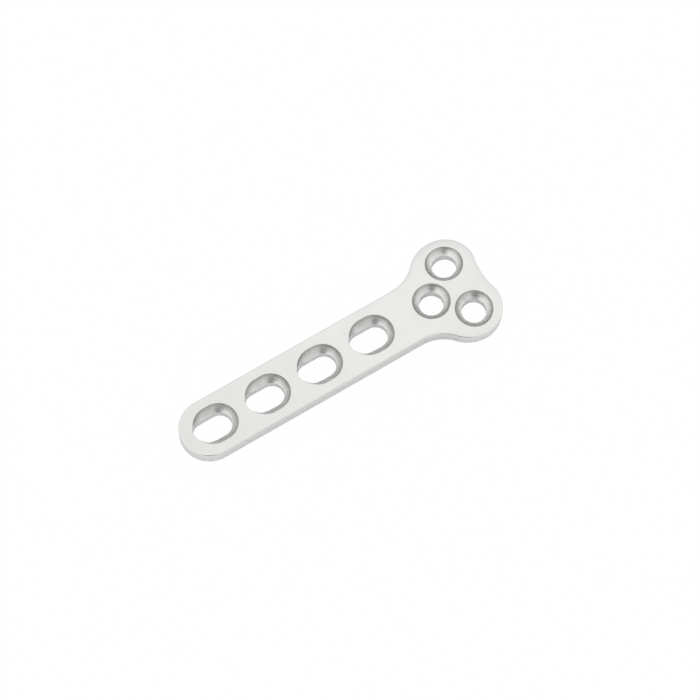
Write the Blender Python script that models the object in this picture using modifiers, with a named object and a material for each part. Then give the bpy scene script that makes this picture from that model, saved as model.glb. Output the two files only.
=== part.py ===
"""Small bone plate: a straight slotted shaft that widens into a cloverleaf head.

The plate is one piece of metal. X runs along it from the round tip to the
head, Y across it and Z up, with the side that lies on the bone facing down.
The origin is midway along and across the plate, level with its lowest points,
which are the outer edges of the curved head.
"""

import math

import bmesh
import bpy
from mathutils import Matrix, Vector

MM = 0.001

# Plate
PLATE_LENGTH = 41.0 * MM
PLATE_THICKNESS = 2.0 * MM
SHAFT_WIDTH = 7.1 * MM
EDGE_ROUNDING = 0.2 * MM

# Screw holes: a straight bore below a seat for the ball of the screw's head,
# and how high the ball's centre stands above the top face over a hole or slot
BORE_DIAMETER = 2.95 * MM
SEAT_BALL_RADIUS = 2.56 * MM
HOLE_BALL_HEIGHT = 1.221 * MM
SLOT_BALL_HEIGHT = 1.015 * MM

# Slots in the shaft: the seat slides up and out towards the tip
TIP_WALL = 1.55 * MM
SLOT_TRAVEL = 1.75 * MM
SLOT_OVERRUN = 0.15 * MM
SLOT_PITCH = 7.04 * MM
SEAT_LEVEL_RUN = 0.7 * MM
SEAT_RISE_ANGLE = math.radians(54.0)
SLOT_TO_HEAD_WEB = 1.8 * MM

# Holes in the head: one on the axis and one in each lobe
HOLE_WEB = 0.55 * MM
LOBE_HOLE_ANGLE = math.radians(41.3)
HEAD_FRONT_WALL = 1.27 * MM
HEAD_SIDE_WALL = 1.1 * MM

# Outline of the head
LOBE_FRONT_RADIUS = 3.68 * MM
LOBE_BACK_RADIUS = 4.5 * MM
NECK_RADIUS = 5.0 * MM
FRONT_DIP_RADIUS = 8.6 * MM

# The head is bowed across, so that it hugs the bone. Its side walls lean
# inward by this share of the angle at which the bowed face slopes there. The
# bow sets in along the neck, and this far before and after the neck's curve.
HEAD_BOW_RADIUS = 38.7 * MM
WALL_LEAN_SHARE = 0.5
BOW_MARGIN = 0.4 * MM
BOW_STRIP_WIDTH = 0.8 * MM
BOW_BLEND_STEPS = 6

# How far a cutter reaches past the faces that it cuts
CUTTER_REACH = 1.0 * MM
ROUND_SEGMENTS = 48
OUTLINE_STEP = math.radians(7.5)

# Places along and across the plate that follow from the sizes
TIP_X = -PLATE_LENGTH / 2
FRONT_X = PLATE_LENGTH / 2
SHAFT_HALF = SHAFT_WIDTH / 2
BORE_RADIUS = BORE_DIAMETER / 2
HOLE_RIM_RADIUS = math.sqrt(SEAT_BALL_RADIUS ** 2 - HOLE_BALL_HEIGHT ** 2)
SLOT_RIM_RADIUS = math.sqrt(SEAT_BALL_RADIUS ** 2 - SLOT_BALL_HEIGHT ** 2)

HOLE_SPACING = 2 * HOLE_RIM_RADIUS + HOLE_WEB
LOBE_HOLE_X = FRONT_X - HEAD_FRONT_WALL - HOLE_RIM_RADIUS
LOBE_HOLE_Y = HOLE_SPACING * math.sin(LOBE_HOLE_ANGLE)
AXIS_HOLE_X = LOBE_HOLE_X - HOLE_SPACING * math.cos(LOBE_HOLE_ANGLE)
HEAD_HALF = LOBE_HOLE_Y + HOLE_RIM_RADIUS + HEAD_SIDE_WALL

FIRST_BORE_X = TIP_X + TIP_WALL + BORE_RADIUS
FIRST_SEAT_X = FIRST_BORE_X + SLOT_TRAVEL
LAST_SEAT_LIMIT = AXIS_HOLE_X - HOLE_RIM_RADIUS - SLOT_TO_HEAD_WEB - SLOT_RIM_RADIUS
SLOT_COUNT = 1 + int((LAST_SEAT_LIMIT - FIRST_SEAT_X) / SLOT_PITCH)

LOBE_CENTER_X = FRONT_X - LOBE_FRONT_RADIUS
LOBE_FRONT_Y = HEAD_HALF - LOBE_FRONT_RADIUS
LOBE_BACK_Y = HEAD_HALF - LOBE_BACK_RADIUS
NECK_CENTER_Y = SHAFT_HALF + NECK_RADIUS
NECK_REACH = NECK_RADIUS + LOBE_BACK_RADIUS
NECK_START_X = LOBE_CENTER_X - math.sqrt(NECK_REACH ** 2 - (NECK_CENTER_Y - LOBE_BACK_Y) ** 2)
NECK_ANGLE = math.atan2(LOBE_BACK_Y - NECK_CENTER_Y, LOBE_CENTER_X - NECK_START_X)
NECK_END_X = NECK_START_X + NECK_RADIUS * math.cos(NECK_ANGLE)
BOW_START_X = NECK_START_X - BOW_MARGIN
BOW_END_X = NECK_END_X + BOW_MARGIN
DIP_REACH = FRONT_DIP_RADIUS + LOBE_FRONT_RADIUS
DIP_CENTER_X = LOBE_CENTER_X + math.sqrt(DIP_REACH ** 2 - LOBE_FRONT_Y ** 2)
DIP_ANGLE = math.atan2(LOBE_FRONT_Y, LOBE_CENTER_X - DIP_CENTER_X)

# Heights: the head's lower side edges touch z = 0, and the shaft lies above them
HEAD_BACK_RADIUS = HEAD_BOW_RADIUS - PLATE_THICKNESS
HEAD_EDGE_REACH = HEAD_BOW_RADIUS - WALL_LEAN_SHARE * PLATE_THICKNESS
HEAD_EDGE_Y = HEAD_EDGE_REACH * math.sin((HEAD_HALF - EDGE_ROUNDING) / HEAD_BOW_RADIUS)
SHAFT_TOP_Z = HEAD_BOW_RADIUS - math.sqrt(HEAD_BACK_RADIUS ** 2 - HEAD_EDGE_Y ** 2)
LOBE_HOLE_LEAN = LOBE_HOLE_Y / HEAD_BOW_RADIUS


def clear_scene():
    for item in list(bpy.data.objects):
        bpy.data.objects.remove(item, do_unlink=True)


def new_collection(name):
    collection = bpy.data.collections.new(name)
    bpy.context.scene.collection.children.link(collection)
    return collection


def satin_steel():
    material = bpy.data.materials.new("satin_steel")
    material.use_nodes = True
    shader = material.node_tree.nodes["Principled BSDF"]
    shader.inputs["Base Color"].default_value = (0.66, 0.66, 0.65, 1.0)
    shader.inputs["Metallic"].default_value = 1.0
    shader.inputs["Roughness"].default_value = 0.4
    return material


def arc_points(center_x, center_y, radius, start, end):
    """Return points along an arc, from the start angle to the end angle."""
    steps = max(2, math.ceil(abs(end - start) / OUTLINE_STEP))
    points = []
    for index in range(steps + 1):
        angle = start + (end - start) * index / steps
        x = center_x + radius * math.cos(angle)
        y = center_y + radius * math.sin(angle)
        points.append((x, y))
    return points


def half_outline(inset):
    """Return the +Y half of the outline, tip to front dip, moved in by inset."""
    tip_x = TIP_X + SHAFT_HALF
    quarter = math.pi / 2
    lobe_to_dip = DIP_ANGLE - math.pi
    points = arc_points(tip_x, 0.0, SHAFT_HALF - inset, math.pi, quarter)
    points += arc_points(NECK_START_X, NECK_CENTER_Y, NECK_RADIUS + inset, -quarter, NECK_ANGLE)
    points += arc_points(
        LOBE_CENTER_X, LOBE_BACK_Y, LOBE_BACK_RADIUS - inset, NECK_ANGLE + math.pi, quarter
    )[1:]
    points += arc_points(
        LOBE_CENTER_X, LOBE_FRONT_Y, LOBE_FRONT_RADIUS - inset, quarter, lobe_to_dip
    )[1:]
    points += arc_points(DIP_CENTER_X, 0.0, FRONT_DIP_RADIUS + inset, DIP_ANGLE, math.pi)[1:]
    return points


def full_outline(inset):
    """Return the closed outline: the +Y half and its mirror image."""
    upper = half_outline(inset)
    lower = [(x, -y) for x, y in reversed(upper[1:-1])]
    return upper + lower


def flat_plate(name, collection):
    """Extrude the outline to a flat plate with rounded edges, as a mesh."""
    curve = bpy.data.curves.new(name + "_outline", "CURVE")
    curve.dimensions = "2D"
    curve.fill_mode = "BOTH"
    curve.extrude = PLATE_THICKNESS / 2 - EDGE_ROUNDING
    curve.bevel_depth = EDGE_ROUNDING
    curve.bevel_resolution = 1
    points = full_outline(EDGE_ROUNDING)
    spline = curve.splines.new("POLY")
    spline.points.add(len(points) - 1)
    for point, (x, y) in zip(spline.points, points):
        point.co = (x, y, 0.0, 1.0)
    spline.use_cyclic_u = True
    outline = bpy.data.objects.new(name + "_outline", curve)
    outline.location.z = SHAFT_TOP_Z - PLATE_THICKNESS / 2
    collection.objects.link(outline)
    bpy.context.view_layer.update()
    evaluated = outline.evaluated_get(bpy.context.evaluated_depsgraph_get())
    mesh = bpy.data.meshes.new_from_object(evaluated)
    mesh.name = name
    plate = bpy.data.objects.new(name, mesh)
    plate.matrix_world = outline.matrix_world
    collection.objects.link(plate)
    bpy.data.objects.remove(outline, do_unlink=True)
    return plate


def cut_faces(bm, point, normal, first_x):
    """Split the faces beyond first_x along the plane through the point."""
    faces = [face for face in bm.faces if face.calc_center_median().x > first_x]
    edges = {edge for face in faces for edge in face.edges}
    verts = {vert for face in faces for vert in face.verts}
    bmesh.ops.bisect_plane(
        bm,
        geom=list(verts) + list(edges) + faces,
        dist=0.001 * MM,
        plane_co=point,
        plane_no=normal,
    )


def bow_share(x):
    """Return how far the bow has set in at x: 0 on the shaft, 1 on the head."""
    share = (x - BOW_START_X) / (BOW_END_X - BOW_START_X)
    share = min(max(share, 0.0), 1.0)
    return share * share * (3.0 - 2.0 * share)


def bowed(point):
    """Return where the flat plate's point goes as the head is bowed about X."""
    curvature = bow_share(point.x) / HEAD_BOW_RADIUS
    if curvature == 0.0:
        return point.copy()
    depth = SHAFT_TOP_Z - point.z
    radius = 1.0 / curvature - depth
    y = (radius + (1.0 - WALL_LEAN_SHARE) * depth) * math.sin(curvature * point.y)
    drop = y ** 2 / (radius + math.sqrt(radius ** 2 - y ** 2))
    return Vector((point.x, y, point.z - drop))


def bow_head(plate):
    """Divide the head's flat faces into strips and bow it down at both sides."""
    bm = bmesh.new()
    bm.from_mesh(plate.data)
    bmesh.ops.transform(bm, matrix=plate.matrix_world, verts=bm.verts)
    bmesh.ops.remove_doubles(bm, verts=bm.verts, dist=0.001 * MM)
    bmesh.ops.dissolve_limit(
        bm, angle_limit=math.radians(0.1), verts=bm.verts, edges=bm.edges
    )
    for index in range(BOW_BLEND_STEPS + 1):
        x = BOW_START_X + (BOW_END_X - BOW_START_X) * index / BOW_BLEND_STEPS
        cut_faces(bm, Vector((x, 0.0, 0.0)), Vector((1.0, 0.0, 0.0)), TIP_X)
    strips = 2 * math.ceil(HEAD_HALF / BOW_STRIP_WIDTH) - 1
    for index in range(1, strips):
        y = HEAD_HALF * (2 * index / strips - 1)
        cut_faces(bm, Vector((0.0, y, 0.0)), Vector((0.0, 1.0, 0.0)), BOW_START_X)
    for vert in bm.verts:
        vert.co = bowed(vert.co)
    bm.to_mesh(plate.data)
    bm.free()
    plate.matrix_world = Matrix.Identity(4)


def add_cutter(name, mesh, collection):
    cutter = bpy.data.objects.new(name, mesh)
    cutter.display_type = "WIRE"
    cutter.hide_render = True
    collection.objects.link(cutter)
    return cutter


def add_hull(name, kind, centers, radius, depth, collection):
    """Make the tight hull around equal upright cylinders, or around equal balls."""
    bm = bmesh.new()
    half_segment = Matrix.Rotation(math.pi / ROUND_SEGMENTS, 4, "Z")
    for center in centers:
        place = Matrix.Translation(center)
        if kind == "ball":
            bmesh.ops.create_uvsphere(
                bm,
                u_segments=ROUND_SEGMENTS,
                v_segments=ROUND_SEGMENTS // 2 + 2,
                radius=radius,
                matrix=place @ half_segment,
            )
        else:
            bmesh.ops.create_cone(
                bm,
                cap_ends=True,
                segments=ROUND_SEGMENTS,
                radius1=radius,
                radius2=radius,
                depth=depth,
                matrix=place,
            )
    hull = bmesh.ops.convex_hull(bm, input=bm.verts)
    inside = [item for item in hull["geom_interior"] if isinstance(item, bmesh.types.BMVert)]
    bmesh.ops.delete(bm, geom=inside, context="VERTS")
    bmesh.ops.dissolve_limit(bm, angle_limit=math.radians(0.1), verts=bm.verts, edges=bm.edges)
    bmesh.ops.recalc_face_normals(bm, faces=bm.faces)
    mesh = bpy.data.meshes.new(name)
    bm.to_mesh(mesh)
    bm.free()
    return add_cutter(name, mesh, collection)


def hole_cutter(name, collection):
    """Turn the bore and ball seat of a round hole, with the top face at z = 0."""
    bottom = -PLATE_THICKNESS - CUTTER_REACH
    bore_angle = math.asin(BORE_RADIUS / SEAT_BALL_RADIUS)
    quarter = math.pi / 2
    ball = arc_points(0.0, HOLE_BALL_HEIGHT, SEAT_BALL_RADIUS, 0.0, bore_angle - quarter)
    profile = [(0.0, HOLE_BALL_HEIGHT)] + ball + [(BORE_RADIUS, bottom), (0.0, bottom)]
    mesh = bpy.data.meshes.new(name)
    verts = [(x, 0.0, z) for x, z in profile]
    edges = [(index, index + 1) for index in range(len(verts) - 1)]
    mesh.from_pydata(verts, edges, [])
    cutter = add_cutter(name, mesh, collection)
    turn = cutter.modifiers.new("turn", "SCREW")
    turn.axis = "Z"
    turn.steps = ROUND_SEGMENTS
    turn.render_steps = ROUND_SEGMENTS
    turn.use_merge_vertices = True
    turn.merge_threshold = 0.001 * MM
    return cutter


def slot_cutters(collection):
    """Make the bore and the sliding seat of a slot, with the top face at z = 0."""
    rise = SEAT_BALL_RADIUS + CUTTER_REACH - SLOT_BALL_HEIGHT
    run = rise / math.tan(SEAT_RISE_ANGLE)
    middle = -PLATE_THICKNESS / 2
    depth = PLATE_THICKNESS + 2 * CUTTER_REACH
    bore_centers = [Vector((-SLOT_TRAVEL, 0.0, middle)), Vector((SLOT_OVERRUN, 0.0, middle))]
    ball_centers = [
        Vector((0.0, 0.0, SLOT_BALL_HEIGHT)),
        Vector((-SEAT_LEVEL_RUN, 0.0, SLOT_BALL_HEIGHT)),
        Vector((-SEAT_LEVEL_RUN - run, 0.0, SLOT_BALL_HEIGHT + rise)),
    ]
    bore = add_hull("slot_bore", "cylinder", bore_centers, BORE_RADIUS, depth, collection)
    seat = add_hull("slot_seat", "ball", ball_centers, SEAT_BALL_RADIUS, 0.0, collection)
    for cutter in (bore, seat):
        cutter.location = (FIRST_SEAT_X, 0.0, SHAFT_TOP_Z)
        array = cutter.modifiers.new("slots", "ARRAY")
        array.count = SLOT_COUNT
        array.use_relative_offset = False
        array.use_constant_offset = True
        array.constant_offset_displace = (SLOT_PITCH, 0.0, 0.0)
    return [bore, seat]


def head_cutters(collection):
    """Place the round holes on the bowed head, each square to its surface."""
    cutters = []
    places = (
        ("axis_hole", AXIS_HOLE_X, 0),
        ("left_hole", LOBE_HOLE_X, 1),
        ("right_hole", LOBE_HOLE_X, -1),
    )
    for name, x, side in places:
        cutter = hole_cutter(name, collection)
        cutter.location = bowed(Vector((x, side * LOBE_HOLE_Y, SHAFT_TOP_Z)))
        cutter.rotation_euler.x = -side * LOBE_HOLE_LEAN
        cutters.append(cutter)
    return cutters


def cut_holes(plate, cutters):
    for cutter in cutters:
        cut = plate.modifiers.new(cutter.name, "BOOLEAN")
        cut.operation = "DIFFERENCE"
        cut.solver = "EXACT"
        cut.object = cutter


def build():
    clear_scene()
    plate_collection = new_collection("bone_plate")
    cutter_collection = new_collection("cutters")
    plate = flat_plate("bone_plate", plate_collection)
    bow_head(plate)
    plate.data.materials.clear()
    plate.data.materials.append(satin_steel())
    cut_holes(plate, slot_cutters(cutter_collection) + head_cutters(cutter_collection))
    plate.data.shade_smooth()
    plate.data.set_sharp_from_angle(angle=math.radians(30.0))


build()
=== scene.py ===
import math

import bmesh
import bpy
from bmesh.types import BMEdge, BMFace, BMVert
from mathutils import Matrix, Vector


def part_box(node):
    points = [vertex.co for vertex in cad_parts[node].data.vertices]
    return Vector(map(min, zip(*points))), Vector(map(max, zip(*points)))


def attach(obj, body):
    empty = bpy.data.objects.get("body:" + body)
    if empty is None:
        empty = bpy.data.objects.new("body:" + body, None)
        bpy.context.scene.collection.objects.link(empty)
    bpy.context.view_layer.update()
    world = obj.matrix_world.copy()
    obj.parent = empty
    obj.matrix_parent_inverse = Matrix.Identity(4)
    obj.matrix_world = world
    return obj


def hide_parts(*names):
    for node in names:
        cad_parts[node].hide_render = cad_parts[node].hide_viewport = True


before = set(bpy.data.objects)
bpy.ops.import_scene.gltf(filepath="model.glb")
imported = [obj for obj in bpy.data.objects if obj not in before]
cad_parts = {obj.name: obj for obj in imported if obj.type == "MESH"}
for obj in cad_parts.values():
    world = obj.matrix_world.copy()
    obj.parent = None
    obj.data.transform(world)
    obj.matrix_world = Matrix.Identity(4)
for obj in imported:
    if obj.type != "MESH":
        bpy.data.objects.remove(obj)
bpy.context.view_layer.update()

mm = 0.001
quarterTurn = math.pi / 2
up = Vector((0, 0, 1))
satinIndex, seatIndex, boreIndex = range(3)  # the order of the plate's finishes

# The plate's own sizes, in millimetres and degrees. Its length and height come from the part's box in
# model.glb.
plate = {
    "node": "bone_plate",
    "slot": "satin_steel",
    "thickness": 2.0,
    "shaftWidth": 7.1,
    "edgeRounding": 0.2,
    "edgeSegments": 6,
    "shoulderWidth": 0.64,  # the faces fall off a little next to their outer edges
    "shoulderDrop": 0.036,
    "shoulderRings": 5,
    "lobeFrontRadius": 3.68,
    "lobeBackRadius": 4.5,
    "neckRadius": 5.0,
    "dipRadius": 8.6,
    "arcStep": 2.5,
    "leastArcSteps": 3,
    "lineStep": 0.9,
    "bowRadius": 38.7,
    "wallLean": 0.5,  # the side walls lean in by this share of the bowed face's slope there
    "bowMargin": 0.4,  # the bow sets in this far before the neck's curve and ends this far after it
    "cell": 0.45,
    "cellPasses": (8, 4, 2, 1, 1, 1),  # edges longer than so many cells are halved, pass by pass
    "flatTolerance": 0.00001,
    "weld": 0.002,
    "sharpAngle": 25.0,
    "flatWeight": 80,
}

holes = {
    "boreWidth": 2.95,
    "ballRadius": 2.56,  # of the screw's head
    "holeBallHeight": 1.221,  # of the ball's centre over the top face
    "slotBallHeight": 1.015,
    "rimRounding": 0.07,
    "rimSegments": 4,
    "seatRings": 14,
    "boreRings": 4,
    "underRounding": 0.1,
    "underSegments": 3,
    "arcStep": 3.0,
    "web": 0.55,
    "lobeAngle": 41.3,
    "frontWall": 1.27,
    "sideWall": 1.1,
    "tipWall": 1.55,
    "slotTravel": 1.75,  # the slot's bore runs this far from the seat's centre to the tip
    "slotOverrun": 0.15,  # and this far to the head
    "slotPitch": 7.04,
    "slotCount": 4,
    "levelRun": 0.7,  # the slot's seat slides level this far, and then rises towards the tip
    "riseAngle": 54.0,
    "uprightAngle": 89.9,  # in place of the rise where the seat is round
    "rimHalvings": 40,
    "slopeStep": 0.01,
}


def rimRadius(ballHeight):
    return math.sqrt(holes["ballRadius"] ** 2 - ballHeight ** 2)


# Places that follow from the sizes, in millimetres
low, high = (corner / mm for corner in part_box(plate["node"]))
tipX, frontX, topZ = low.x, high.x, high.z
underZ = topZ - plate["thickness"]
middleZ = (topZ + underZ) / 2
shaftHalf = plate["shaftWidth"] / 2
boreRadius = holes["boreWidth"] / 2
holeRim = rimRadius(holes["holeBallHeight"])
holeGap = 2 * holeRim + holes["web"]
lobeAngle = math.radians(holes["lobeAngle"])
lobeHoleX = frontX - holes["frontWall"] - holeRim
lobeHoleY = holeGap * math.sin(lobeAngle)
axisHoleX = lobeHoleX - holeGap * math.cos(lobeAngle)
headHalf = lobeHoleY + holeRim + holes["sideWall"]
firstSeatX = tipX + holes["tipWall"] + boreRadius + holes["slotTravel"]
lobeX = frontX - plate["lobeFrontRadius"]
lobeFrontY = headHalf - plate["lobeFrontRadius"]
lobeBackY = headHalf - plate["lobeBackRadius"]
neckY = shaftHalf + plate["neckRadius"]
neckReach = plate["neckRadius"] + plate["lobeBackRadius"]
neckStartX = lobeX - math.sqrt(neckReach ** 2 - (neckY - lobeBackY) ** 2)
neckAngle = math.atan2(lobeBackY - neckY, lobeX - neckStartX)
neckEndX = neckStartX + plate["neckRadius"] * math.cos(neckAngle)
bowStartX = neckStartX - plate["bowMargin"]
bowEndX = neckEndX + plate["bowMargin"]
dipReach = plate["dipRadius"] + plate["lobeFrontRadius"]
dipX = lobeX + math.sqrt(dipReach ** 2 - lobeFrontY ** 2)
dipAngle = math.atan2(lobeFrontY, lobeX - dipX)


def pick(items, kind):  # the verts, edges or faces among what an operator returns
    return [item for item in items if isinstance(item, kind)]


def addPiece(name, bm):
    mesh = bpy.data.meshes.new(name)
    bm.to_mesh(mesh)
    bm.free()
    piece = bpy.data.objects.new(name, mesh)
    bpy.context.scene.collection.objects.link(piece)
    return piece


# Outline and body

def drawArc(bm, vert, centre, turn):  # one vertex, spun about the centre, leaves an arc of edges
    steps = max(plate["leastArcSteps"], math.ceil(abs(turn) / math.radians(plate["arcStep"])))
    made = bmesh.ops.spin(
        bm, geom=[vert], cent=(*centre, topZ), axis=up, angle=turn, steps=steps
    )
    return pick(made["geom_last"], BMVert)[0]


def drawLine(bm, vert, x):
    startX = vert.co.x
    steps = math.ceil((x - startX) / plate["lineStep"])
    for index in range(1, steps + 1):
        vert = bmesh.ops.extrude_vert_indiv(bm, verts=[vert])["verts"][0]
        vert.co.x = startX + (x - startX) * index / steps
    return vert


def drawOutline(bm):  # the +Y half from the tip to the dip, then its mirror image
    vert = bm.verts.new((tipX, 0, topZ))
    vert = drawArc(bm, vert, (tipX + shaftHalf, 0), -quarterTurn)
    vert = drawLine(bm, vert, neckStartX)
    vert = drawArc(bm, vert, (neckStartX, neckY), quarterTurn + neckAngle)
    vert = drawArc(bm, vert, (lobeX, lobeBackY), -quarterTurn - neckAngle)
    vert = drawArc(bm, vert, (lobeX, lobeFrontY), dipAngle - math.pi - quarterTurn)
    drawArc(bm, vert, (dipX, 0), math.pi - dipAngle)
    bmesh.ops.mirror(bm, geom=bm.verts[:] + bm.edges[:], axis="Y", merge_dist=plate["weld"])
    bmesh.ops.remove_doubles(bm, verts=bm.verts, dist=plate["weld"])


def findCaps(bm):  # the top and underside, the only faces with more than four corners
    return [face for face in bm.faces if len(face.verts) > 4]


def shoulderRise(ring):  # how far the face has risen over its outer edge, ring by ring inwards
    left = 1 - ring / plate["shoulderRings"]
    return plate["shoulderDrop"] * (1 - left * left)


def raiseShoulder(bm, cap):
    for ring in range(plate["shoulderRings"]):
        bmesh.ops.inset_region(
            bm,
            faces=[cap],
            thickness=plate["shoulderWidth"] / plate["shoulderRings"],
            depth=shoulderRise(ring + 1) - shoulderRise(ring),
            use_even_offset=True,
            use_boundary=True,
        )
    level = topZ if cap.normal.z > 0 else underZ
    for vert in cap.verts:
        vert.co.z = level


def makeBody(bm):  # the flat slab with rounded edges and soft shoulders, open at the top and bottom
    drawOutline(bm)
    bmesh.ops.translate(bm, verts=bm.verts, vec=-up * plate["shoulderDrop"])
    cap = bmesh.ops.contextual_create(bm, geom=bm.edges[:])["faces"][0]
    if cap.normal.z > 0:
        cap.normal_flip()
    made = bmesh.ops.extrude_face_region(bm, geom=[cap], use_keep_orig=True)["geom"]
    wallHeight = plate["thickness"] - 2 * plate["shoulderDrop"]
    bmesh.ops.translate(bm, verts=pick(made, BMVert), vec=-up * wallHeight)
    bmesh.ops.recalc_face_normals(bm, faces=bm.faces)
    caps = findCaps(bm)
    bmesh.ops.bevel(
        bm,
        geom=[edge for edge in bm.edges if any(face in caps for face in edge.link_faces)],
        offset=plate["edgeRounding"],
        segments=plate["edgeSegments"],
        profile=0.5,
        affect="EDGES",
        material=-1,
    )
    caps = findCaps(bm)
    for cap in caps:
        raiseShoulder(bm, cap)
    bmesh.ops.delete(bm, geom=caps, context="FACES_ONLY")


# Screw holes and slots

def seatDepth(x, y, seat):  # height of the seat from the top face, with +x towards the head
    height = seat["ballHeight"]
    width = math.sqrt(max(holes["ballRadius"] ** 2 - y * y, 0.0))
    if x > 0:
        return height - math.sqrt(max(width * width - x * x, 0.0))
    back = -x - seat["levelRun"]
    if back < 0:
        return height - width
    slope = seat["riseAngle"]
    if back < width * math.sin(slope):
        return height - math.sqrt(width * width - back * back)
    return height - width * math.cos(slope) + (back - width * math.sin(slope)) * math.tan(slope)


def rimDistance(depth):  # how far from the bore the seat comes up to the top face
    near, far = 0.0, holes["ballRadius"]
    if depth(near) >= 0:
        return near
    for _ in range(holes["rimHalvings"]):
        middle = (near + far) / 2
        if depth(middle) < 0:
            near = middle
        else:
            far = middle
    return far


def cutProfile(place, outward, seat):  # (distance from the bore, height) of a cut through one side
    def depth(distance):
        point = place + outward * distance
        return seatDepth(point.x, point.y, seat)

    rim = rimDistance(depth)
    slope = math.atan2(depth(rim) - depth(rim - holes["slopeStep"]), holes["slopeStep"])
    rounding = holes["rimRounding"]
    centre = rim + rounding * math.tan(slope / 2)
    boreOnly = centre <= rounding  # here the bore's own wall comes up to the top face
    if boreOnly:
        slope = quarterTurn
        centre = rounding
    points = []
    for index in range(holes["rimSegments"] + 1):
        angle = slope * index / holes["rimSegments"]
        points.append((centre - rounding * math.sin(angle), rounding * math.cos(angle) - rounding))
    start, height = points[-1]
    for index in range(1, holes["seatRings"] + 1):
        distance = start * (1 - index / holes["seatRings"])
        if not boreOnly:
            height = min(depth(distance), height)
        points.append((distance, height))
    reach = holes["underRounding"]
    bottom = reach - plate["thickness"]
    for index in range(1, holes["boreRings"] + 1):
        points.append((0.0, height + (bottom - height) * index / holes["boreRings"]))
    for index in range(1, holes["underSegments"] + 1):
        angle = quarterTurn * index / holes["underSegments"]
        points.append((reach - reach * math.cos(angle), bottom - reach * math.sin(angle)))
    return points


seatEnd = holes["rimSegments"] + holes["seatRings"]  # the last ring of each stretch of that cut
boreEnd = seatEnd + holes["boreRings"]
underEnd = boreEnd + holes["underSegments"]


def finishAt(ring):  # half of the rim's rounding is turned with the seat
    if ring <= holes["rimSegments"] // 2 or ring > boreEnd:
        return satinIndex
    return seatIndex if ring <= seatEnd else boreIndex


def wireEdges(bm):
    return [edge for edge in bm.edges if edge.is_wire]


def drawBore(bm, seat):  # the bore's plan: a circle, or for a slot two half circles and two lines
    step = math.radians(holes["arcStep"])
    segments = 2 * round(math.pi / step)
    bmesh.ops.create_circle(
        bm, segments=segments, radius=boreRadius, matrix=Matrix.Rotation(math.pi / segments, 4, "Z")
    )
    slotLength = seat["travel"] + seat["overrun"]
    if slotLength > 0:
        sides = [
            edge for edge in wireEdges(bm)
            if abs(edge.verts[0].co.x + edge.verts[1].co.x) < plate["weld"]
        ]
        for vert in [vert for vert in bm.verts if vert.is_wire]:
            vert.co.x += seat["overrun"] if vert.co.x > 0 else -seat["travel"]
        bmesh.ops.subdivide_edges(bm, edges=sides, cuts=round(slotLength / (boreRadius * step)))
    return wireEdges(bm)


def makeHole(bm, centreX, centreY, seat):  # rings of faces, from the top face down to the underside
    def pointOf(cut, ring):
        place, outward, points = cut
        distance, height = points[ring]
        at = place + outward * distance
        return (centreX + at.x, centreY + at.y, topZ + height)

    run = bm.verts.layers.float["profileRun"]
    foot = bm.verts.layers.float_vector["boreFoot"]
    topEdges = drawBore(bm, seat)
    cuts = {}
    for vert in [vert for vert in bm.verts if vert.is_wire]:
        place = Vector((vert.co.x, vert.co.y))
        core = min(max(place.x, -seat["travel"]), seat["overrun"])
        outward = Vector((place.x - core, place.y)).normalized()
        cuts[vert] = (place, outward, cutProfile(place, outward, seat))
        vert[foot] = (centreX + place.x, centreY + place.y, 0)
        vert.co = pointOf(cuts[vert], 0)
    edges = topEdges
    for ring in range(1, underEnd + 1):
        made = bmesh.ops.extrude_edge_only(bm, edges=edges)["geom"]
        nextCuts = {}
        for vert in pick(made, BMVert):
            others = [edge.other_vert(vert) for edge in vert.link_edges]
            above = [other for other in others if other in cuts][0]
            points = cuts[above][2]
            vert.co = pointOf(cuts[above], ring)
            vert[run] = above[run] + math.dist(points[ring], points[ring - 1])
            vert[foot] = above[foot]
            nextCuts[vert] = cuts[above]
        for face in pick(made, BMFace):
            face.material_index = finishAt(ring)
        cuts = nextCuts
        edges = [edge for edge in pick(made, BMEdge) if all(vert in cuts for vert in edge.verts)]
    return topEdges, edges


def screwPlaces():  # (x, y, seat) of each slot and hole
    slotSeat = {
        "ballHeight": holes["slotBallHeight"], "travel": holes["slotTravel"],
        "overrun": holes["slotOverrun"], "levelRun": holes["levelRun"],
        "riseAngle": math.radians(holes["riseAngle"]),
    }
    roundSeat = {
        "ballHeight": holes["holeBallHeight"], "travel": 0.0, "overrun": 0.0,
        "levelRun": 0.0, "riseAngle": math.radians(holes["uprightAngle"]),
    }
    places = []
    for index in range(holes["slotCount"]):
        places.append((firstSeatX + index * holes["slotPitch"], 0.0, slotSeat))
    places.append((axisHoleX, 0.0, roundSeat))
    for side in (1, -1):
        places.append((lobeHoleX, side * lobeHoleY, roundSeat))
    return places


# Flat faces and bow

def fillFlat(bm, edges):
    made = bmesh.ops.triangle_fill(bm, use_beauty=True, edges=edges, normal=up)["geom"]
    for face in pick(made, BMFace):
        face.material_index = satinIndex


def refineFlat(bm, level):  # small even cells: the head can be bowed, and the shading runs evenly
    def flatFaces():
        return [
            face for face in bm.faces
            if all(abs(vert.co.z - level) < plate["flatTolerance"] for vert in face.verts)
        ]

    def innerEdges():
        flat = set(flatFaces())
        return [
            edge for edge in bm.edges
            if len(edge.link_faces) == 2 and all(face in flat for face in edge.link_faces)
        ]

    for size in plate["cellPasses"]:
        longEdges = [edge for edge in innerEdges() if edge.calc_length() > size * plate["cell"]]
        bmesh.ops.subdivide_edges(bm, edges=longEdges, cuts=1)
        bmesh.ops.triangulate(bm, faces=flatFaces())
        bmesh.ops.beautify_fill(bm, faces=flatFaces(), edges=innerEdges())


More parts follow.
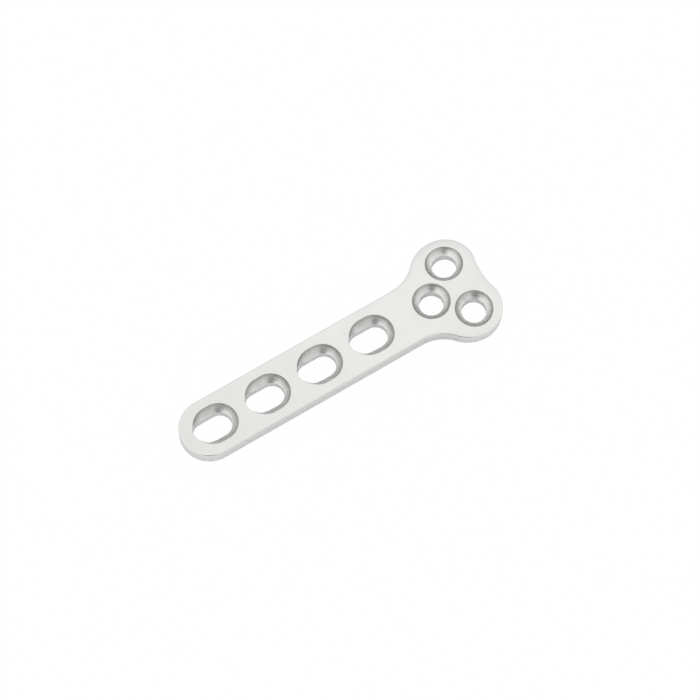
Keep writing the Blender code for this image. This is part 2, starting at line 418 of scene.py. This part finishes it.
def bowed(point):  # where a point of the flat plate goes as the head is bowed about its long axis
    share = min(max((point.x - bowStartX) / (bowEndX - bowStartX), 0.0), 1.0)
    curvature = share * share * (3 - 2 * share) / plate["bowRadius"]
    if curvature == 0.0:
        return point.copy()
    depth = topZ - point.z
    radius = 1 / curvature - depth
    y = (radius + (1 - plate["wallLean"]) * depth) * math.sin(curvature * point.y)
    drop = y * y / (radius + math.sqrt(radius * radius - y * y))
    return Vector((point.x, y, point.z - drop))


def makePlate():
    bm = bmesh.new()
    bm.verts.layers.float.new("profileRun")  # the way down a hole from its rim, in millimetres
    bm.verts.layers.float_vector.new("boreFoot")  # where the bore stands, the same all the way down
    makeBody(bm)
    rims = [edge for edge in bm.edges if len(edge.link_faces) == 1]
    topRims = [edge for edge in rims if edge.verts[0].co.z > middleZ]
    underRims = [edge for edge in rims if edge.verts[0].co.z < middleZ]
    for x, y, seat in screwPlaces():
        top, under = makeHole(bm, x, y, seat)
        topRims += top
        underRims += under
    fillFlat(bm, topRims)
    fillFlat(bm, underRims)
    refineFlat(bm, topZ)
    refineFlat(bm, underZ)
    bmesh.ops.remove_doubles(bm, verts=bm.verts, dist=plate["weld"])
    bmesh.ops.recalc_face_normals(bm, faces=bm.faces)
    for vert in bm.verts:
        vert.co = bowed(vert.co) * mm
    for face in bm.faces:
        face.smooth = True
    for edge in bm.edges:
        edge.smooth = edge.calc_face_angle(0.0) < math.radians(plate["sharpAngle"])
    openEdges = [edge for edge in bm.edges if len(edge.link_faces) != 2]
    print("plate made:", len(bm.verts), "verts,", len(bm.faces), "faces,", len(openEdges), "open edges")
    piece = addPiece("plate_finish", bm)
    weighted = piece.modifiers.new("weighted", "WEIGHTED_NORMAL")
    weighted.keep_sharp = True
    weighted.weight = plate["flatWeight"]
    return piece


plateFinish = makePlate()
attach(plateFinish, "root")
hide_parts(plate["node"])


# Finishes

class Wire:  # one socket of a material's nodes, so that its maths reads as an expression
    def __init__(self, tree, socket=None):
        self.tree = tree
        self.socket = socket

    def node(self, kind, settings, inputs, output=0):  # settings are set first, then values and links
        made = self.tree.nodes.new(kind)
        for name, value in settings.items():
            setattr(made, name, value)
        for name, value in inputs.items():
            if isinstance(value, Wire):
                self.tree.links.new(value.socket, made.inputs[name])
            else:
                made.inputs[name].default_value = value
        return None if output is None else Wire(self.tree, made.outputs[output])

    def maths(self, operation, first, second):
        return self.node("ShaderNodeMath", {"operation": operation}, {0: first, 1: second})

    def __add__(self, other):
        return self.maths("ADD", self, other)

    def __radd__(self, other):
        return self.maths("ADD", other, self)

    def __sub__(self, other):
        return self.maths("SUBTRACT", self, other)

    def __rsub__(self, other):
        return self.maths("SUBTRACT", other, self)

    def __mul__(self, other):
        return self.maths("MULTIPLY", self, other)

    def __rmul__(self, other):
        return self.maths("MULTIPLY", other, self)

    def __abs__(self):
        return self.node("ShaderNodeMath", {"operation": "ABSOLUTE"}, {0: self})

    def step(self, start, end):  # 0 up to the start, 1 from the end on, smooth between
        inputs = {"Value": self, "From Min": start, "From Max": end}
        return self.node("ShaderNodeMapRange", {"interpolation_type": "SMOOTHSTEP"}, inputs)

    def tint(self, first, second):  # a colour, with this value as the share of the second
        inputs = {"Factor": self, 6: first, 7: second}  # a Mix node's colours are sockets 6 and 7
        return self.node("ShaderNodeMix", {"data_type": "RGBA"}, inputs, 2)

    def noise(self, scale):  # around 0.5, from this place in millimetres
        return self.node("ShaderNodeTexNoise", {}, {"Vector": self, "Scale": scale})


def newMaterial(name):
    material = bpy.data.materials.new(name)
    material.use_nodes = True
    material.node_tree.nodes.clear()
    return material, Wire(material.node_tree)


def placeInMm(wire):
    place = wire.node("ShaderNodeTexCoord", {}, {}, "Object")
    return wire.node("ShaderNodeVectorMath", {"operation": "SCALE"}, {0: place, "Scale": 1 / mm})


def metal(wire, colour, roughness, height, bumpDepth):
    normal = wire.node("ShaderNodeBump", {}, {
        "Height": height, "Distance": bumpDepth * mm, "Strength": 1.0,
    })
    shader = wire.node("ShaderNodeBsdfPrincipled", {}, {
        "Base Color": colour, "Metallic": 1.0, "Roughness": roughness, "Normal": normal,
    })
    wire.node("ShaderNodeOutputMaterial", {}, {"Surface": shader}, None)


noiseRange = (0.3, 0.7)  # the noise runs from full shade to full light between these

satin = {  # tumbled and bead-blasted faces: scales in waves per millimetre, bump in millimetres
    "light": (0.89, 0.892, 0.86, 1),
    "shade": (0.85, 0.852, 0.84, 1),
    # painted shade: the walls, which mirror the shadowed floor beside the plate, are coloured darker
    # than the faces
    "side": (0.825, 0.828, 0.816, 1),
    # painted shade: a darker line along the rounded edges
    "edge": (0.83, 0.832, 0.824, 1),
    "roughness": 0.32,
    "edgeRoughness": 0.24,
    "cloudScale": 0.25,
    "mottleScale": 1.6,
    "grainScale": 9.0,
    "pitScale": 5.0,
    "cloudShare": 0.6,
    "mottleShare": 0.25,
    "grainShare": 0.15,
    "pitShare": 0.5,
    "roughnessSwing": 0.1,
    "wallToEdge": (0.2, 0.35),
    "edgeToFace": (0.88, 0.99),
    "wallToFace": (0.3, 0.8),
    "bumpDepth": 0.0012,
}


def satinSteel(name):
    material, wire = newMaterial(name)
    place = placeInMm(wire)
    cloud = place.noise(satin["cloudScale"])
    mottle = place.noise(satin["mottleScale"])
    grain = place.noise(satin["grainScale"])
    pits = wire.node("ShaderNodeTexVoronoi", {}, {"Vector": place, "Scale": satin["pitScale"]})
    facing = wire.node("ShaderNodeTexCoord", {}, {}, "Normal")
    upright = abs(wire.node("ShaderNodeSeparateXYZ", {}, {0: facing}, "Z"))  # 0 on walls, 1 on faces
    rounding = upright.step(*satin["wallToEdge"]) * (1 - upright.step(*satin["edgeToFace"]))
    tone = cloud * satin["cloudShare"] + mottle * satin["mottleShare"] + grain * satin["grainShare"]
    colour = tone.step(*noiseRange).tint(satin["shade"], satin["light"])
    # painted shade: the walls take the darker side colour
    colour = (1 - upright.step(*satin["wallToFace"])).tint(colour, satin["side"])
    # painted shade: the rounded edges take the darker edge colour
    colour = rounding.tint(colour, satin["edge"])
    roughness = satin["roughness"] + satin["roughnessSwing"] * (mottle + grain - 1)
    roughness = roughness - (satin["roughness"] - satin["edgeRoughness"]) * rounding  # edges rub smooth
    metal(wire, colour, roughness, grain + pits * satin["pitShare"], satin["bumpDepth"])
    return material


cutterMarks = {  # what seats and bores share
    "chatterShare": 0.3,
    "streakShare": 0.42,
    "markShare": 0.28,
    "roughnessSwing": 0.11,
}

seatFinish = {  # turned with a ball-nosed cutter, with painted shade over the first stretch down from the rim
    "light": (0.86, 0.86, 0.84, 1),
    "shade": (0.73, 0.732, 0.71, 1),
    # painted shade: the dark line just inside the rim
    "rim": (0.59, 0.59, 0.57, 1),
    "rimShadeRun": (0.05, 0.68),
    "roughness": 0.24,
    "markScale": 26.0,
    "wobble": 0.5,
    "streakScale": 0.9,
    "chatterScale": 1.7,
    "bumpDepth": 0.009,
}

boreFinish = {  # drilled and reamed, paler and a little bluer than the seat
    "light": (0.95, 0.947, 0.958, 1),
    "shade": (0.82, 0.816, 0.832, 1),
    "roughness": 0.34,
    "markScale": 11.0,
    "wobble": 0.6,
    "streakScale": 1.1,
    "chatterScale": 2.6,
    "bumpDepth": 0.0008,
}


def machinedSteel(name, finish):
    material, wire = newMaterial(name)
    place = placeInMm(wire)
    run = wire.node("ShaderNodeAttribute", {"attribute_name": "profileRun"}, {}, "Fac")
    foot = wire.node("ShaderNodeAttribute", {"attribute_name": "boreFoot"}, {}, "Vector")
    streak = place.noise(finish["streakScale"])
    chatter = foot.noise(finish["chatterScale"])  # marks that run down the hole
    rings = run * finish["markScale"] + streak * finish["wobble"]
    marks = wire.node("ShaderNodeTexNoise", {"noise_dimensions": "1D"}, {"W": rings, "Scale": 1.0})
    tone = chatter * cutterMarks["chatterShare"] + streak * cutterMarks["streakShare"]
    tone = tone + marks * cutterMarks["markShare"]
    colour = tone.step(*noiseRange).tint(finish["shade"], finish["light"])
    # painted shade: the seat darkens towards its rim
    if "rim" in finish:
        colour = (1 - run.step(*finish["rimShadeRun"])).tint(colour, finish["rim"])
    roughness = finish["roughness"] + cutterMarks["roughnessSwing"] * (streak + marks - 1)
    metal(wire, colour, roughness, marks, finish["bumpDepth"])
    return material


plateFinish.data.materials.append(satinSteel("satin_face"))
plateFinish.data.materials.append(machinedSteel("ball_seat", seatFinish))
plateFinish.data.materials.append(machinedSteel("bore_wall", boreFinish))
print("finishes made:", ", ".join(item.name for item in plateFinish.data.materials))


# Studio, in millimetres and degrees

studio = {
    "floorSize": 6000,
    "floorColour": (0.95, 0.95, 0.95),
    "floorGlow": 0.98,
    "mirroredGlow": 0.04,
    "cameraAim": (1.724, -0.572, 3.305),
    "cameraAzimuth": -31.56,
    "cameraElevation": 67.565,
    "cameraDistance": 590.2,
    "lens": 262.286,
    "clip": (10, 50000),
}

flags = {  # soft-edged cards that the camera doesn't see, each spread to both sides of its place
    "stand_flag": {
        "aim": (0, 0, 0), "azimuth": -33, "elevation": 8, "distance": 460, "spread": (24, 46),
        "core": 0.5, "tone": 0.18,
    },
    "low_flag": {
        "aim": (0, 0, 0), "azimuth": -38, "elevation": 4, "distance": 480, "spread": (46, 17),
        "core": 0.58, "tone": 0.14,
    },
    "front_flag": {
        "aim": (0, 0, 0), "azimuth": -5, "elevation": 22, "distance": 500, "spread": (52, 42),
        "core": 0.4, "tone": 0.76,
    },
    "top_flag": {
        "aim": (0, 0, 0), "azimuth": 40, "elevation": 75, "distance": 480, "spread": (26, 26),
        "core": 0.3, "tone": 0.89,
    },
    "far_flag": {
        "aim": (0, 0, 0), "azimuth": 148.44, "elevation": 20, "distance": 500, "spread": (68, 34),
        "core": 0.3, "tone": 0.76,
    },
    "tip_flag": {
        "aim": (-50, 0, 2), "azimuth": 148.44, "elevation": 67.565, "distance": 120,
        "spread": (27, 27), "core": 0.45, "tone": 0.86,
    },
    "head_flag": {
        "aim": (63, 0, 2), "azimuth": 148.44, "elevation": 67.565, "distance": 120,
        "spread": (24, 24), "core": 0.45, "tone": 0.9,
    },
}

horizon = {"radius": 600, "height": 80, "tone": 0.4, "segments": 64}


def towards(azimuth, elevation):  # direction from the plate: azimuth 0 is the -Y side
    turn, rise = math.radians(azimuth), math.radians(elevation)
    return Vector((
        math.sin(turn) * math.cos(rise), -math.cos(turn) * math.cos(rise), math.sin(rise)
    ))


def makeCamera():
    camera = bpy.data.objects.new("camera", bpy.data.cameras.new("camera"))
    bpy.context.scene.collection.objects.link(camera)
    back = towards(studio["cameraAzimuth"], studio["cameraElevation"])
    camera.location = (Vector(studio["cameraAim"]) + back * studio["cameraDistance"]) * mm
    camera.rotation_mode = "QUATERNION"
    camera.rotation_quaternion = (-back).to_track_quat("-Z", "Y")
    camera.data.lens = studio["lens"]
    camera.data.clip_start, camera.data.clip_end = (distance * mm for distance in studio["clip"])
    bpy.context.scene.camera = camera


def stagePiece(name, bm, material):
    piece = addPiece(name, bm)
    piece.data.materials.append(material)
    return piece


def floorMaterial():  # white to the camera, a trace of that to the metal, and it keeps the shadow
    material, wire = newMaterial("floor")
    paint = wire.node("ShaderNodeBsdfDiffuse", {}, {"Color": (*studio["floorColour"], 1)})
    glow = wire.node("ShaderNodeEmission", {}, {"Strength": 1.0})
    seen = wire.node("ShaderNodeLightPath", {}, {}, "Is Camera Ray")
    glossy = wire.node("ShaderNodeLightPath", {}, {}, "Is Glossy Ray")
    through = wire.node("ShaderNodeLightPath", {}, {}, "Is Transmission Ray")
    share = studio["floorGlow"] * seen + studio["mirroredGlow"] * (glossy + through)
    mixed = wire.node("ShaderNodeMixShader", {}, {0: share, 1: paint, 2: glow})
    wire.node("ShaderNodeOutputMaterial", {}, {"Surface": mixed}, None)
    return material


def plainGlow(name, tone):
    material, wire = newMaterial(name)
    glow = wire.node("ShaderNodeEmission", {}, {"Color": (tone, tone, tone, 1)})
    wire.node("ShaderNodeOutputMaterial", {}, {"Surface": glow}, None)
    return material


def softGlow(name, tone, core):  # full inside the core, clear at the rim
    material, wire = newMaterial(name)
    glow = wire.node("ShaderNodeEmission", {}, {"Color": (tone, tone, tone, 1)})
    clear = wire.node("ShaderNodeBsdfTransparent", {}, {})
    place = wire.node("ShaderNodeTexCoord", {}, {}, "Object")
    radius = wire.node("ShaderNodeVectorMath", {"operation": "LENGTH"}, {0: place}, "Value")
    mixed = wire.node("ShaderNodeMixShader", {}, {0: radius.step(core, 1.0), 1: glow, 2: clear})
    wire.node("ShaderNodeOutputMaterial", {}, {"Surface": mixed}, None)
    return material


def keepOutOfSight(piece):  # the metal still mirrors it
    piece.visible_camera = False
    piece.visible_shadow = False
    piece.visible_transmission = False


def makeFloor():
    bm = bmesh.new()
    bmesh.ops.create_grid(bm, x_segments=1, y_segments=1, size=studio["floorSize"] / 2 * mm)
    stagePiece("floor", bm, floorMaterial())


def makeFlag(name, flag):
    bm = bmesh.new()
    bmesh.ops.create_grid(bm, x_segments=1, y_segments=1, size=1.0)
    piece = stagePiece(name, bm, softGlow(name, flag["tone"], flag["core"]))
    back = towards(flag["azimuth"], flag["elevation"])
    halfWidth, halfHeight = (math.tan(math.radians(angle)) for angle in flag["spread"])
    piece.location = (Vector(flag["aim"]) + back * flag["distance"]) * mm
    piece.rotation_mode = "QUATERNION"
    piece.rotation_quaternion = back.to_track_quat("Z", "Y")
    piece.scale = Vector((halfWidth, halfHeight, 1)) * flag["distance"] * mm
    keepOutOfSight(piece)


def makeHorizon():  # a low dark band all round
    bm = bmesh.new()
    bmesh.ops.create_cone(
        bm,
        segments=horizon["segments"],
        radius1=horizon["radius"] * mm,
        radius2=horizon["radius"] * mm,
        depth=horizon["height"] * mm,
        matrix=Matrix.Translation(up * horizon["height"] * mm / 2),
    )
    keepOutOfSight(stagePiece("horizon", bm, plainGlow("horizon", horizon["tone"])))


def makeWorld():
    world = bpy.data.worlds.new("studio")
    world.use_nodes = True
    background = world.node_tree.nodes["Background"]
    background.inputs["Color"].default_value = (1, 1, 1, 1)
    background.inputs["Strength"].default_value = 1.0
    bpy.context.scene.world = world
    bpy.context.scene.view_settings.view_transform = "Standard"


makeCamera()
makeFloor()
for flagName, flagValues in flags.items():
    makeFlag(flagName, flagValues)
makeHorizon()
makeWorld()
print("studio made: camera, floor, horizon,", len(flags), "flags and world")
